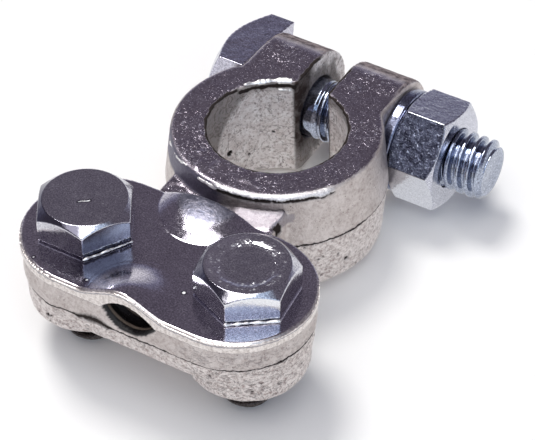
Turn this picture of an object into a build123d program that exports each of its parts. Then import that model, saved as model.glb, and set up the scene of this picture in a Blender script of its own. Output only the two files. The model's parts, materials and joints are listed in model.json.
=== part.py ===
from build123d import *
import os
from math import radians, sqrt, tan

# Battery terminal clamp: a split cast ring that grips the tapered battery post, closed by a pinch bolt
# through two ears, and a cast saddle on which a pressed plate and two bolts hold the bared cable.
# Millimetres. The origin is on the ring's axis at its underside, +Z is up along that axis, the saddle
# points to -Y, the ears to +Y and the pinch nut to +X.

# Ring and its tapered bore
RING_HEIGHT = 15.3
RING_TOP_RADIUS = 13.25
RING_PARTING_RADIUS = 14.1  # halfway down, where the halves of the mould met
RING_FOOT_RADIUS = 13.5
BORE_TOP_RADIUS = 8.73
BORE_TAPER = 1 / 9  # on the diameter, as on the battery post

# Slot and the two ears of the pinch bolt
SLOT_WIDTH = 4.4
SLOT_CORNER = 1.0
EAR_SPAN = 20.0  # over the outer faces of both ears
EAR_REACH = 13.9  # from the ring's axis to the pinch bolt's
EAR_BLEND = 2.0  # between the ring's wall and an ear's outer face
CAST_EDGE = 0.6  # rounding of the ring's and the ears' rims

# Saddle, its bosses and the neck to the ring
BOLT_SPACING = 22.4
BOLT_ROW = 25.7  # from the ring's axis to the row of cable bolts
SADDLE_DROP = 2.95  # from the ring's top down to the saddle's
SADDLE_HEIGHT = 5.6
BOSS_FOOT = 2.5
PLATE_LENGTH = 38.2
PLATE_WIDTH = 19.5
PLATE_SETBACK = 25.85  # from the ring's axis to the middle of the plate
PLATE_OFFSET = 0.35  # of the plate and the saddle towards the nut's side
SADDLE_INSET = 0.2  # how far the casting stands in from the plate's outline, at its parting line
SADDLE_DRAFT = 6.0  # degrees, above and below the parting line
BOSS_RADIUS = 7.75
BOSS_DRAFT = 3.0  # degrees
BOSS_EDGE = 0.9
NECK_WIDTH = 16.0
NECK_FOOT = 3.6

# Cable groove in the saddle, with cross ribs that bite the strands
GROOVE_OFFSET = 0.9
GROOVE_WIDTH = 7.4
GROOVE_DEPTH = 2.5
GROOVE_LENGTH = 17.0
RIB_COUNT = 9
RIB_HEIGHT = 0.35

# Pressed clamp plate with an arch at the front edge and one at the rear
PLATE_THICKNESS = 1.5
FRONT_ARCH_OFFSET = 0.5
FRONT_ARCH_RADIUS = 5.7
FRONT_ARCH_RISE = 2.2
FRONT_ARCH_INSET = 2.3  # from the front edge to the middle of its arch
FRONT_HOLLOW_RADIUS = 4.3
FRONT_HOLLOW_RISE = 2.3
REAR_ARCH_OFFSET = 0.2
REAR_ARCH_RADIUS = 6.4
REAR_ARCH_RISE = 1.7

# Cable bolts, 1/4 inch
BOLT_RADIUS = 3.175
BOLT_LENGTH = 17.0
BOLT_TIP = 0.6
HEAD_FLATS = 11.11
HEAD_HEIGHT = 4.2
HEAD_CROWN_RADIUS = 5.1  # of the flat circle on top of the head
HEAD_CHAMFER_ANGLE = 40.0  # degrees
HEAD_FOOT_EDGE = 0.3
LEFT_HEAD_TURN = -60.0  # degrees
RIGHT_HEAD_TURN = -83.5
DISH_RADIUS = 3.3
DISH_DEPTH = 0.25

# Pinch bolt, 5/16 inch, with a square head
PINCH_RADIUS = 3.97
PINCH_OVERHANG = 23.3  # from the ring's axis to the bolt's free end
PINCH_TIP = 0.8
SQUARE_MARGIN = 1.8  # the square head is this much lower than the ears, so no corner passes their underside
SQUARE_HEIGHT = 5.1
SQUARE_TURN = -8.0  # degrees

# Washer and nut of the pinch bolt
WASHER_RADIUS = 6.7
WASHER_THICKNESS = 1.6
WASHER_EDGE = 0.2
NUT_FLATS = 12.7
NUT_HEIGHT = 6.4
NUT_TURN = 49.3  # degrees

# Clearances
THREAD_CLEARANCE = 0.05  # between a bolt and the thread it runs in
PLATE_HOLE_CLEARANCE = 0.3
EAR_HOLE_CLEARANCE = 0.3
WASHER_HOLE_CLEARANCE = 0.3
SEAT_CLEARANCE = 0.4  # round the square head, and round the nut's corners
CHAMFER_ANGLE = 30.0  # degrees, on the square head, the nut and the dish
OVERCUT = 1.0  # how far a cut runs past the face it opens
TOUCH = 0.01  # within which two places are the same

EAR_HALF_SPAN = EAR_SPAN / 2
LUG_RADIUS = RING_HEIGHT / 2
SQUARE_FLATS = RING_HEIGHT - SQUARE_MARGIN
PARTING_HEIGHT = RING_HEIGHT / 2
SADDLE_TOP = RING_HEIGHT - SADDLE_DROP
SADDLE_FOOT = SADDLE_TOP - SADDLE_HEIGHT
SADDLE_PARTING = (SADDLE_TOP + SADDLE_FOOT) / 2
NECK_END = sqrt(RING_TOP_RADIUS**2 - NECK_WIDTH**2 / 4)  # where the neck's sides are inside the ring's wall
PINCH_AXIS = Axis((0, EAR_REACH, LUG_RADIUS), (1, 0, 0))
BORE_FOOT_RADIUS = BORE_TOP_RADIUS + RING_HEIGHT * BORE_TAPER / 2
PLATE_TOP = SADDLE_TOP + PLATE_THICKNESS
PLATE_FRONT = -PLATE_SETBACK - PLATE_WIDTH / 2
PLATE_REAR = -PLATE_SETBACK + PLATE_WIDTH / 2
BOLT_PLACES = [(-BOLT_SPACING / 2, -BOLT_ROW), (BOLT_SPACING / 2, -BOLT_ROW)]
GROOVE_RADIUS = (GROOVE_WIDTH**2 / 4 + GROOVE_DEPTH**2) / (2 * GROOVE_DEPTH)


def across_corners(flats, sides):
    """The corner radius of a regular head or nut of this width across flats."""
    return flats / 2 / {4: sqrt(0.5), 6: sqrt(0.75)}[sides]


def write(part, name):
    part.label = name
    export_step(part, f"parts/{name}.step")


os.makedirs("parts", exist_ok=True)


# The casting: ring, ears, neck and saddle are one piece of lead alloy
with BuildPart() as terminal_body:
    with BuildSketch(Plane.XZ):
        with BuildLine():
            Polyline(
                (0, 0),
                (RING_FOOT_RADIUS, 0),
                (RING_PARTING_RADIUS, PARTING_HEIGHT),
                (RING_TOP_RADIUS, RING_HEIGHT),
                (0, RING_HEIGHT),
                close=True,
            )
        make_face()
    revolve(axis=Axis.Z)

    # ears: one rounded lug across the ring, parted later by the slot
    with BuildSketch(Plane.YZ):
        with Locations((EAR_REACH, LUG_RADIUS)):
            Circle(LUG_RADIUS)
        with Locations((EAR_REACH / 2, LUG_RADIUS)):
            Rectangle(EAR_REACH, RING_HEIGHT)
    extrude(amount=EAR_HALF_SPAN, both=True)
    ear_roots = terminal_body.edges().filter_by(
        lambda e: abs(abs(e.center().X) - EAR_HALF_SPAN) < TOUCH
        and e.center().Y < RING_TOP_RADIUS
        and e.bounding_box().size.Z > RING_HEIGHT / 4
    )
    fillet(ear_roots, EAR_BLEND)
    flat_ends = terminal_body.faces().filter_by(Axis.Z).edges()
    outer_rims = flat_ends.filter_by(lambda e: e.center().Y < EAR_REACH - TOUCH)
    lug_rims = terminal_body.edges().filter_by(
        lambda e: abs(abs(e.center().X) - EAR_HALF_SPAN) < TOUCH and e.center().Y > EAR_REACH
    )
    fillet(outer_rims + lug_rims, CAST_EDGE)

    # saddle: drafted both ways from its parting line
    with BuildSketch(Plane.XY.offset(SADDLE_PARTING)) as saddle_outline:
        with Locations((PLATE_OFFSET, -PLATE_SETBACK)):
            SlotOverall(PLATE_LENGTH - 2 * SADDLE_INSET, PLATE_WIDTH - 2 * SADDLE_INSET)
    extrude(amount=SADDLE_TOP - SADDLE_PARTING, taper=SADDLE_DRAFT)
    extrude(saddle_outline.sketch, amount=SADDLE_FOOT - SADDLE_PARTING, taper=SADDLE_DRAFT)
    # bosses that carry the threads of the cable bolts
    with BuildSketch(Plane.XY.offset(PARTING_HEIGHT)):
        with Locations(BOLT_PLACES):
            Circle(BOSS_RADIUS)
    extrude(amount=BOSS_FOOT - PARTING_HEIGHT, taper=BOSS_DRAFT)
    boss_rims = terminal_body.faces().filter_by(Axis.Z).filter_by(
        lambda f: abs(f.center().Z - BOSS_FOOT) < TOUCH
    ).edges()
    fillet(boss_rims, BOSS_EDGE)

    # neck, from under the plate into the ring's wall, deeper towards the ring
    with BuildSketch(Plane.YZ):
        with BuildLine():
            Polyline(
                (-BOLT_ROW, SADDLE_TOP),
                (-NECK_END, SADDLE_TOP),
                (-BORE_FOOT_RADIUS, NECK_FOOT),
                (PLATE_REAR, NECK_FOOT),
                (-BOLT_ROW, SADDLE_FOOT),
                close=True,
            )
        make_face()
    extrude(amount=NECK_WIDTH / 2, both=True)

    # tapered bore for the battery post, and the slot that lets the ring close on it
    with BuildSketch(Plane.XZ):
        with BuildLine():
            Polyline(
                (0, 0), (BORE_FOOT_RADIUS, 0), (BORE_TOP_RADIUS, RING_HEIGHT), (0, RING_HEIGHT), close=True
            )
        make_face()
    revolve(axis=Axis.Z, mode=Mode.SUBTRACT)
    with BuildSketch():
        with Locations((0, EAR_REACH)):
            Rectangle(SLOT_WIDTH, 2 * EAR_REACH)
    extrude(amount=RING_HEIGHT, mode=Mode.SUBTRACT)
    slot_mouth = terminal_body.edges().filter_by(
        lambda e: abs(abs(e.center().X) - SLOT_WIDTH / 2) < TOUCH
        and e.center().Y < BORE_FOOT_RADIUS
        and e.bounding_box().size.Z > RING_HEIGHT / 2
    )
    fillet(slot_mouth, SLOT_CORNER)

    # hole for the pinch bolt, the washer's flat seat and the square head's recess
    with BuildSketch(Plane.YZ):
        with Locations((EAR_REACH, LUG_RADIUS)):
            Circle(PINCH_RADIUS + EAR_HOLE_CLEARANCE)
    extrude(amount=EAR_SPAN, both=True, mode=Mode.SUBTRACT)
    with BuildSketch(Plane.YZ.offset(EAR_HALF_SPAN)):
        with Locations((EAR_REACH, LUG_RADIUS)):
            Circle(across_corners(NUT_FLATS, 6) + SEAT_CLEARANCE)
    extrude(amount=RING_FOOT_RADIUS, mode=Mode.SUBTRACT)
    with BuildSketch(Plane.YZ.offset(-EAR_HALF_SPAN)):
        with Locations(Location((EAR_REACH, LUG_RADIUS), SQUARE_TURN)):
            Rectangle(SQUARE_FLATS + 2 * SEAT_CLEARANCE, SQUARE_FLATS + 2 * SEAT_CLEARANCE)
    extrude(amount=-RING_FOOT_RADIUS, mode=Mode.SUBTRACT)

    # threaded holes of the cable bolts
    with BuildSketch(Plane.XY.offset(SADDLE_TOP)):
        with Locations(BOLT_PLACES):
            Circle(BOLT_RADIUS + THREAD_CLEARANCE)
    extrude(amount=-SADDLE_TOP, mode=Mode.SUBTRACT)

    # cable groove: one turned cutter whose rings leave the ribs
    groove_axis_height = SADDLE_TOP - GROOVE_DEPTH + GROOVE_RADIUS
    rib_pitch = GROOVE_LENGTH / RIB_COUNT
    groove_end = PLATE_FRONT + SADDLE_INSET + GROOVE_LENGTH
    with BuildSketch(Plane((GROOVE_OFFSET, 0, groove_axis_height), x_dir=(0, 1, 0), z_dir=(1, 0, 0))):
        with BuildLine():
            outline = [(groove_end, 0), (PLATE_FRONT - OVERCUT, 0), (PLATE_FRONT - OVERCUT, -GROOVE_RADIUS)]
            for rib in range(RIB_COUNT):
                start = groove_end - GROOVE_LENGTH + rib * rib_pitch
                outline += [(start, -GROOVE_RADIUS), (start + rib_pitch / 2, RIB_HEIGHT - GROOVE_RADIUS)]
            outline += [(groove_end, -GROOVE_RADIUS)]
            Polyline(outline, close=True)
        make_face()
    revolve(axis=Axis((GROOVE_OFFSET, 0, groove_axis_height), (0, 1, 0)), mode=Mode.SUBTRACT)

write(terminal_body.part, "terminal_body")


# The pressed plate: a flat stadium with a dome cut by each long edge, hollow underneath
def dome(rise, radius):
    """The radius of the ball whose cap has this rise and this radius at its foot."""
    return (radius**2 + rise**2) / (2 * rise)


with BuildPart() as cable_clamp_plate:
    with BuildSketch(Plane.XY.offset(SADDLE_TOP)):
        with Locations((PLATE_OFFSET, -PLATE_SETBACK)):
            SlotOverall(PLATE_LENGTH, PLATE_WIDTH)
    extrude(amount=PLATE_THICKNESS)
    front_middle = PLATE_FRONT + FRONT_ARCH_INSET
    front_ball = dome(FRONT_ARCH_RISE, FRONT_ARCH_RADIUS)
    rear_ball = dome(REAR_ARCH_RISE, REAR_ARCH_RADIUS)
    rear_place = (REAR_ARCH_OFFSET, PLATE_REAR, PLATE_TOP + REAR_ARCH_RISE - rear_ball)
    with Locations((FRONT_ARCH_OFFSET, front_middle, PLATE_TOP + FRONT_ARCH_RISE - front_ball)):
        Sphere(front_ball)
    with Locations(rear_place):
        Sphere(rear_ball)
    with BuildSketch(Plane.XY.offset(SADDLE_TOP)):
        with Locations((PLATE_OFFSET, -PLATE_SETBACK)):
            SlotOverall(PLATE_LENGTH, PLATE_WIDTH)
    extrude(amount=PLATE_THICKNESS + FRONT_ARCH_RISE + REAR_ARCH_RISE, mode=Mode.INTERSECT)
    # the hollow over the groove is narrower than its arch, the rear one follows it
    hollow_ball = dome(FRONT_HOLLOW_RISE, FRONT_HOLLOW_RADIUS)
    with Locations((GROOVE_OFFSET, front_middle, SADDLE_TOP + FRONT_HOLLOW_RISE - hollow_ball)):
        Sphere(hollow_ball, mode=Mode.SUBTRACT)
    with Locations(rear_place):
        Sphere(rear_ball - PLATE_THICKNESS, mode=Mode.SUBTRACT)
    with BuildSketch(Plane.XY.offset(SADDLE_TOP)):
        with Locations(BOLT_PLACES):
            Circle(BOLT_RADIUS + PLATE_HOLE_CLEARANCE)
    extrude(amount=PLATE_THICKNESS, mode=Mode.SUBTRACT)

write(cable_clamp_plate.part, "cable_clamp_plate")


def chamfered_blank(flats, height, crown, angle):
    """Half the section of a turned blank whose top corners are chamfered from the crown's radius outwards."""
    reach = across_corners(flats, 4) + OVERCUT
    drop = (reach - crown) * tan(radians(angle))
    return [(0, 0), (reach, 0), (reach, height - drop), (crown, height), (0, height)]


# Two hex bolts that pull the plate down on the cable
for name, (x, y), head_turn, dished in (
    ("cable_bolt_left", BOLT_PLACES[0], LEFT_HEAD_TURN, False),
    ("cable_bolt_right", BOLT_PLACES[1], RIGHT_HEAD_TURN, True),
):
    seat = Plane((x, y, PLATE_TOP))
    section = Plane((x, y, PLATE_TOP), x_dir=(1, 0, 0), z_dir=(0, -1, 0))
    with BuildPart() as cable_bolt:
        with BuildSketch(seat):
            RegularPolygon(across_corners(HEAD_FLATS, 6), 6, rotation=head_turn)
        extrude(amount=HEAD_HEIGHT)
        with BuildSketch(section):
            with BuildLine():
                blank = chamfered_blank(HEAD_FLATS, HEAD_HEIGHT, HEAD_CROWN_RADIUS, HEAD_CHAMFER_ANGLE)
                Polyline(blank, close=True)
            make_face()
        revolve(axis=Axis((x, y, 0), (0, 0, 1)), mode=Mode.INTERSECT)
        chamfer(cable_bolt.faces().sort_by(Axis.Z)[0].edges(), HEAD_FOOT_EDGE)
        with BuildSketch(seat):
            Circle(BOLT_RADIUS)
        extrude(amount=-BOLT_LENGTH)
        chamfer(cable_bolt.faces().sort_by(Axis.Z)[0].edges(), BOLT_TIP)
        if dished:
            with BuildSketch(seat.offset(HEAD_HEIGHT)):
                Circle(DISH_RADIUS)
            extrude(amount=-DISH_DEPTH, taper=CHAMFER_ANGLE, mode=Mode.SUBTRACT)
    write(cable_bolt.part, name)


# The pinch bolt, its square head against the left ear
head_seat = Plane((-EAR_HALF_SPAN, EAR_REACH, LUG_RADIUS), x_dir=(0, -1, 0), z_dir=(-1, 0, 0))
with BuildPart() as pinch_bolt:
    with BuildSketch(head_seat):
        Rectangle(SQUARE_FLATS, SQUARE_FLATS, rotation=-SQUARE_TURN)
    extrude(amount=SQUARE_HEIGHT)
    with BuildSketch(Plane(head_seat.origin, x_dir=(0, 1, 0), z_dir=(0, 0, 1))):
        with BuildLine():
            blank = chamfered_blank(SQUARE_FLATS, SQUARE_HEIGHT, SQUARE_FLATS / 2, CHAMFER_ANGLE)
            Polyline(blank, close=True)
        make_face()
    revolve(axis=PINCH_AXIS, mode=Mode.INTERSECT)
    with BuildSketch(head_seat):
        Circle(PINCH_RADIUS)
    extrude(amount=-EAR_HALF_SPAN - PINCH_OVERHANG)
    chamfer(pinch_bolt.faces().sort_by(Axis.X)[-1].edges(), PINCH_TIP)

write(pinch_bolt.part, "pinch_bolt")


# Washer and nut, in that order outside the right ear
washer_seat = Plane.YZ.offset(EAR_HALF_SPAN)
with BuildPart() as pinch_washer:
    with BuildSketch(washer_seat):
        with Locations((EAR_REACH, LUG_RADIUS)):
            Circle(WASHER_RADIUS)
            Circle(PINCH_RADIUS + WASHER_HOLE_CLEARANCE, mode=Mode.SUBTRACT)
    extrude(amount=WASHER_THICKNESS)
    rims = pinch_washer.edges().filter_by(GeomType.CIRCLE).filter_by(lambda e: e.radius > WASHER_RADIUS - TOUCH)
    chamfer(rims, WASHER_EDGE)

write(pinch_washer.part, "pinch_washer")

nut_seat = Plane((EAR_HALF_SPAN + WASHER_THICKNESS, EAR_REACH, LUG_RADIUS), x_dir=(0, 1, 0), z_dir=(1, 0, 0))
nut_section = Plane(nut_seat.origin, x_dir=(0, -1, 0), z_dir=(0, 0, 1))
with BuildPart() as pinch_nut:
    with BuildSketch(nut_seat):
        RegularPolygon(across_corners(NUT_FLATS, 6), 6, rotation=NUT_TURN)
    extrude(amount=NUT_HEIGHT)
    with BuildSketch(nut_section):
        with BuildLine():
            outer = chamfered_blank(NUT_FLATS, NUT_HEIGHT, NUT_FLATS / 2, CHAMFER_ANGLE)
            inner = [(reach, NUT_HEIGHT - height) for reach, height in reversed(outer[2:4])]
            Polyline([(0, 0)] + inner + outer[2:], close=True)
        make_face()
    revolve(axis=PINCH_AXIS, mode=Mode.INTERSECT)
    with BuildSketch(nut_seat):
        Circle(PINCH_RADIUS + THREAD_CLEARANCE)
    extrude(amount=NUT_HEIGHT, mode=Mode.SUBTRACT)

write(pinch_nut.part, "pinch_nut")
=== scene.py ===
import json
from math import atan, cos, pi, radians, sin

import bmesh
import bpy
import numpy as np
from mathutils import Matrix, Vector

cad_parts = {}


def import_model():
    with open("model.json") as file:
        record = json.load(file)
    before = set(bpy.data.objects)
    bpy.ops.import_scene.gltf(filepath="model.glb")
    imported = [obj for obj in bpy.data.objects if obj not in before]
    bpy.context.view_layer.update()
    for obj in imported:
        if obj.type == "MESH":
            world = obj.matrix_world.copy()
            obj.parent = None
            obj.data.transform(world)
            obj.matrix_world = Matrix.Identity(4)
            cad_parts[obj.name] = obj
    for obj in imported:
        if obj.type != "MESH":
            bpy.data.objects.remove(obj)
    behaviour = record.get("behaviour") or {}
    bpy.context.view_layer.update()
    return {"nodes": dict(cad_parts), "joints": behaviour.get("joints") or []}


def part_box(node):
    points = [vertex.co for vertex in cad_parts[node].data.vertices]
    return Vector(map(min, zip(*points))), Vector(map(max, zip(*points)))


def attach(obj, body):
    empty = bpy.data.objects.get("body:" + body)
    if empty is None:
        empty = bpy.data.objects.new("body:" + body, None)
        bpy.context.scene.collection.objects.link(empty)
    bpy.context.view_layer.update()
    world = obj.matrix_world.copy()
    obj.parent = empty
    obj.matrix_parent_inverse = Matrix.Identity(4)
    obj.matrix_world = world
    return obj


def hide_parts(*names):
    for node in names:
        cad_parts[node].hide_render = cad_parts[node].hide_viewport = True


# Battery terminal clamp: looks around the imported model. Shapes are worked out in millimetres, in the
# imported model's frame, and become metres when a mesh is made.
MM = 0.001

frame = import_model()


# --- sizes, in millimetres, taken from the frame where it holds them ---


def span(node):
    """(lowest corner, highest corner) of a CAD node, in millimetres."""
    low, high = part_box(node)
    return np.array(low) / MM, np.array(high) / MM


def joint_place(name):
    joint = next(j for j in frame["joints"] if j["name"] == name)
    return np.array(joint["pos_m"]) / MM


BODY_LOW, BODY_HIGH = span("terminal_body")
RING_TOP = BODY_HIGH[2]
RING_RADIUS = 13.25  # at its top
PARTING = RING_TOP / 2
BORE_TOP_RADIUS = 8.73
BORE_SLOPE = 1 / 18  # of the radius over the height
SLOT_HALF = 2.2
EAR_FACE = 10.0

PLATE_LOW, PLATE_HIGH = span("cable_clamp_plate")
PLATE_UNDER = PLATE_LOW[2]
PLATE_TOP = PLATE_UNDER + 1.5
PLATE_MIDDLE = (PLATE_LOW + PLATE_HIGH) / 2
PLATE_ROUND = (PLATE_HIGH[1] - PLATE_LOW[1]) / 2
PLATE_STRAIGHT = (PLATE_HIGH[0] - PLATE_LOW[0]) / 2 - PLATE_ROUND

# the cable's groove under the plate, and the ribs across it
GROOVE_MIDDLE = 0.9
GROOVE_FRONT = -35.4
GROOVE_DEPTH = 2.5
GROOVE_RADIUS = (3.7**2 + GROOVE_DEPTH**2) / (2 * GROOVE_DEPTH)
RIB_PITCH = 17.0 / 9

LEFT_AXIS = joint_place("bolt_left_turn")
RIGHT_AXIS = joint_place("bolt_right_turn")
HEAD_TOP = span("cable_bolt_left")[1][2]
HEAD_FLAT_HALF = 11.11 / 2
BOLT_FOOT = span("cable_bolt_left")[0][2]
BOLT_RADIUS = 3.175
BOLT_CORE = 2.6
BOLT_PITCH = 1.27

PINCH_AXIS = joint_place("nut_turn")
PINCH_END = span("pinch_bolt")[1][0]
PINCH_RADIUS = 3.97
PINCH_CORE = 3.15
PINCH_PITCH = 25.4 / 18

# edge of the small faces that each skin is made of
CASTING_VOXEL, PLATE_VOXEL = 0.28, 0.17
CABLE_HEAD_VOXEL, SQUARE_HEAD_VOXEL = 0.11, 0.13
WASHER_VOXEL, NUT_VOXEL = 0.14, 0.12


# --- noise ---


def lattice(cell, seed):
    """A repeatable number from 0 to 1 for each row of whole numbers."""
    mixed = (
        cell[..., 0] * 73856093 ^ cell[..., 1] * 19349663 ^ cell[..., 2] * 83492791 ^ seed * 2654435761
    ) & 0xFFFFFFFF
    mixed = ((mixed ^ (mixed >> 15)) * 2246822519) & 0xFFFFFFFF
    mixed = ((mixed ^ (mixed >> 13)) * 3266489917) & 0xFFFFFFFF
    return ((mixed ^ (mixed >> 16)) & 0xFFFFFF) / 0xFFFFFF


def smooth_noise(points, seed):
    """Value noise from -1 to 1 with a feature size of 1."""
    cell = np.floor(points).astype(np.int64)
    part = points - cell
    part = part * part * (3 - 2 * part)
    total = np.zeros(len(points))
    for corner in np.ndindex(2, 2, 2):
        weight = np.prod(np.where(np.array(corner) == 1, part, 1 - part), axis=1)
        total += weight * lattice(cell + np.array(corner), seed)
    return 2 * total - 1


def fractal(points, size, octaves, seed):
    """Layered noise from about -1 to 1; size is the largest feature, in millimetres."""
    total, weight, reach = 0, 1.0, 0.0
    for octave in range(octaves):
        total = total + weight * smooth_noise(points * 2**octave / size + 31.7 * octave, seed + octave)
        reach += weight
        weight *= 0.5
    return total / reach * 1.4


def pits(points, size, share, radius, seed):
    """Depth from 0 to 1 of round pits, one in a share of the cells of this size."""
    scaled = points / size
    cell = np.floor(scaled).astype(np.int64)
    depth = np.zeros(len(points))
    for offset in np.ndindex(3, 3, 3):
        beside = cell + np.array(offset) - 1
        there = lattice(beside, seed) < share
        place = np.stack([lattice(beside, seed + k) for k in (1, 2, 3)], axis=1) + beside
        reach = radius * (0.35 + 0.65 * lattice(beside, seed + 4)) / size
        away = np.linalg.norm(scaled - place, axis=1) / reach
        depth = np.maximum(depth, np.where(there, np.clip(1 - away**2, 0, 1), 0))
    return depth


def step(low, high, value):
    """0 below low, 1 above high, smooth between."""
    part = np.clip((value - low) / (high - low), 0, 1)
    return part * part * (3 - 2 * part)


def near(value, centre, width):
    """1 at the centre, falling to 0 at this distance from it."""
    return np.clip(1 - np.abs((value - centre) / width), 0, 1)


def band(value, low, high, soft):
    """1 between low and high, falling to 0 over soft outside them."""
    return step(low - soft, low, value) * step(high + soft, high, value)


def spots(x, y, places):
    """Soft round spots, each (x, y, reach, strength), added up."""
    return sum(s * np.exp(-(((x - px) ** 2 + (y - py) ** 2) / r**2)) for px, py, r, s in places)


# --- meshes ---


def read(mesh):
    points = np.empty(len(mesh.vertices) * 3)
    mesh.vertices.foreach_get("co", points)
    return points.reshape(-1, 3) / MM


def write(mesh, points):
    mesh.vertices.foreach_set("co", (points * MM).ravel())
    mesh.update()


def normals(mesh):
    values = np.empty(len(mesh.vertices) * 3, np.float32)
    mesh.vertex_normals.foreach_get("vector", values)
    return values.reshape(-1, 3).astype(float)


RELAX_ROUNDS = 2
RELAX_IN, RELAX_OUT = 0.55, -0.57


def relax(mesh):
    """Softens the skin without shrinking it: steps in and out by turns."""
    links = np.empty(len(mesh.edges) * 2, np.int64)
    mesh.edges.foreach_get("vertices", links)
    one, other = links.reshape(-1, 2).T
    points = read(mesh)
    size = len(points)
    count = np.bincount(links, minlength=size)[:, None]
    for _ in range(RELAX_ROUNDS):
        for pull in (RELAX_IN, RELAX_OUT):
            total = [np.bincount(one, p[other], size) + np.bincount(other, p[one], size) for p in points.T]
            points = points + pull * (np.transpose(total) / count - points)
    write(mesh, points)


def store(mesh, **marks):
    """Stores the marks, each a number for each point, for the materials to read."""
    for name, values in marks.items():
        attribute = mesh.attributes.new(name, "FLOAT", "POINT")
        attribute.data.foreach_set("value", values.astype(np.float32))


def link(name, data):
    obj = bpy.data.objects.new(name, data)
    bpy.context.scene.collection.objects.link(obj)
    return obj


def as_mesh(name, shape):
    """A mesh from a bmesh, which is freed."""
    mesh = bpy.data.meshes.new(name)
    shape.to_mesh(mesh)
    shape.free()
    return mesh


def skin(node, voxel, cut=None):
    """A CAD node's form as an even skin of small faces, voxel millimetres wide. cut is (point, direction):
    only what lies on the direction's side of the point is kept."""
    shape = bmesh.new()
    shape.from_mesh(frame["nodes"][node].data)
    bmesh.ops.remove_doubles(shape, verts=shape.verts, dist=1e-7)
    if cut:
        made = bmesh.ops.bisect_plane(
            shape,
            geom=shape.verts[:] + shape.edges[:] + shape.faces[:],
            plane_co=Vector(cut[0]) * MM,
            plane_no=Vector(cut[1]),
            clear_inner=True,
        )
        rim = [e for e in made["geom_cut"] if isinstance(e, bmesh.types.BMEdge)]
        bmesh.ops.holes_fill(shape, edges=rim)
    obj = link(node + "_form", as_mesh(node + "_form", shape))
    remesh = obj.modifiers.new("skin", "REMESH")
    remesh.mode = "VOXEL"
    remesh.voxel_size = voxel * MM
    evaluated = obj.evaluated_get(bpy.context.evaluated_depsgraph_get())
    mesh = bpy.data.meshes.new_from_object(evaluated)
    bpy.data.objects.remove(obj)
    relax(mesh)
    return mesh


def stitch(shape, rings):
    """Makes the faces between each ring of points and the next."""
    for low, high in zip(rings, rings[1:]):
        for k in range(len(low)):
            n = (k + 1) % len(low)
            shape.faces.new((low[k], low[n], high[n], high[k]))


# the shallow dish in a shank's end: share of the radius and drop of each ring of points
END_DISH = ((0.93, 0.0), (0.6, 0.03), (0.3, 0.06))


def threaded_shank(radius, pitch, length, thread_from, core, tip, around=72, along=16):
    """A shank on +Z from 0 to length as a bmesh: a helical thread from one height to the end, a chamfered
    tip and a slightly dished end. around and along are the faces of one turn and of one pitch."""
    shape = bmesh.new()
    rows = []
    heights = np.append(np.arange(0, length - tip * 0.02, pitch / along), length)
    angles = np.arange(around) / around * 2 * pi
    for height in heights:
        phase = (height / pitch - angles / (2 * pi)) % 1.0
        ridge = np.clip(1.28 - np.abs(phase - 0.5) * 3.0, 0, 1)
        ridge = ridge * ridge * (3 - 2 * ridge)
        cut = np.clip((height - thread_from) / pitch, 0, 1)
        outline = radius - (radius - core) * (1 - ridge) * cut
        outline = np.minimum(outline, radius - max(0.0, height - (length - tip)))
        rows.append([shape.verts.new((r * cos(a), r * sin(a), height)) for r, a in zip(outline, angles)])
    last = rows[-1]
    for share, drop in END_DISH:
        rows.append([shape.verts.new((v.co.x * share, v.co.y * share, length - drop)) for v in last])
    stitch(shape, rows)
    shape.faces.new(rows[-1])
    shape.faces.new(list(reversed(rows[0])))
    return shape


RIBBON_STEP = 0.12  # between the rings of points along a ribbon
RIBBON_SIDES = 8
RIBBON_SLOPE = (cos(radians(33)), sin(radians(33)))


def torn_ribbon(path, radius, seed, gap=0.0, lean=1):
    """A ragged sliver of metal along a path in millimetres, as a bmesh in metres. It slopes down to the
    right of the path where lean is 1 and to the left where it is -1. gap is how broken it is."""
    path = np.array(path, float)
    reach = np.append(0, np.cumsum(np.linalg.norm(np.diff(path, axis=0), axis=1)))
    steps = np.linspace(0, reach[-1], max(4, int(reach[-1] / RIBBON_STEP)))
    line = np.stack([np.interp(steps, reach, path[:, k]) for k in range(3)], axis=1)
    line += 0.35 * radius * np.stack([fractal(line, 0.8, 2, seed + k) for k in range(3)], axis=1)
    broken = gap * (0.5 + fractal(line, 1.7, 2, seed + 7))
    thick = radius * np.clip(0.75 + 0.6 * fractal(line, 0.9, 2, seed + 5) - broken, 0.02, 1.3)
    thick[0] = thick[-1] = 0.02 * radius
    shape = bmesh.new()
    rings = []
    for k, centre in enumerate(line):
        ahead = line[min(k + 1, len(line) - 1)] - line[max(k - 1, 0)]
        side = np.cross(ahead, (0, 0, 1))
        side /= np.linalg.norm(side)
        up = np.cross(side, ahead)
        up /= np.linalg.norm(up)
        wide = 1.25 * (RIBBON_SLOPE[0] * lean * side - RIBBON_SLOPE[1] * up)
        thin = 0.5 * (RIBBON_SLOPE[1] * lean * side + RIBBON_SLOPE[0] * up)
        turns = np.arange(RIBBON_SIDES) / RIBBON_SIDES * 2 * pi
        rings.append(
            [shape.verts.new((centre + thick[k] * (cos(a) * wide + sin(a) * thin)) * MM) for a in turns]
        )
    stitch(shape, rings)
    return shape


def placed(shape, matrix):
    """Moves a bmesh made in millimetres by a matrix in millimetres, and makes it metres."""
    bmesh.ops.transform(shape, matrix=Matrix.Scale(MM, 4) @ matrix, verts=shape.verts)
    return shape


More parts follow.
